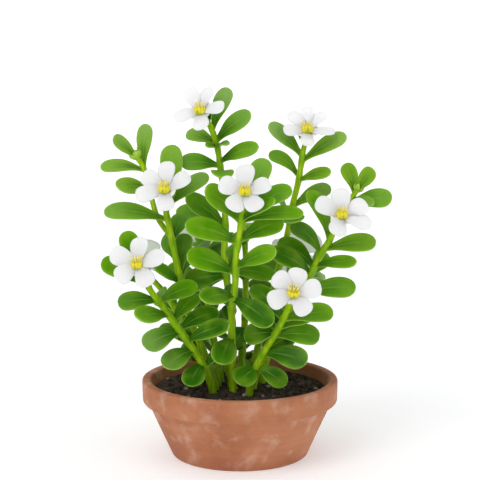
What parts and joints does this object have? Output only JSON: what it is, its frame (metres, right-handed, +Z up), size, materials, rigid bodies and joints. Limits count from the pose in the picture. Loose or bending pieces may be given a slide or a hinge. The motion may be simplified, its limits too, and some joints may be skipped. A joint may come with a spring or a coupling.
{
  "type": "potted water hyssop",
  "caption": "Bushy potted water hyssop: upright green stems with paired spoon-shaped leaves and white open flowers with yellow centres, in a low round clay pot.",
  "frame": {"origin": "middle of the pot's flat foot, on the surface it stands on", "axes": "+Z up along the pot's axis, -Y toward the front of the plant, where most blooms face, +X to the right seen from the front"},
  "size_m": [0.1153, 0.0936, 0.1461],
  "materials": {
    "clay": "matt unglazed terracotta with a fine grain",
    "soil": "crumbly dark potting compost, which weighs about as much as wood",
    "leaf": "fleshy satin green leaves and yellow-green stems",
    "petal": "soft white, thin petals",
    "flower_centre": "yellow throat with pale anthers"
  },
  "bodies": {
    "root": {"pot": "clay", "soil": "soil", "stem_left_outer": "leaf", "stem_left": "leaf", "stem_centre": "leaf", "stem_top_left": "leaf", "stem_top_right": "leaf", "stem_right": "leaf", "stem_right_low": "leaf", "stem_left_hidden": "leaf", "stem_back_left": "leaf", "stem_back_middle": "leaf", "stem_back_right": "leaf", "stem_back_low_left": "leaf", "stem_back_low_right": "leaf", "bloom_centre": "petal", "bloom_left_high": "petal", "bloom_left_low": "petal", "bloom_left_hidden": "petal", "bloom_right_low": "petal", "bloom_right": "petal", "bloom_top_left": "petal", "bloom_top_right": "petal", "bloom_back_left": "petal", "bloom_back_right": "petal", "eye_centre": "flower_centre", "eye_left_high": "flower_centre", "eye_left_low": "flower_centre", "eye_left_hidden": "flower_centre", "eye_right_low": "flower_centre", "eye_right": "flower_centre", "eye_top_left": "flower_centre", "eye_top_right": "flower_centre", "eye_back_left": "flower_centre", "eye_back_right": "flower_centre"}
  },
  "joints": []
}
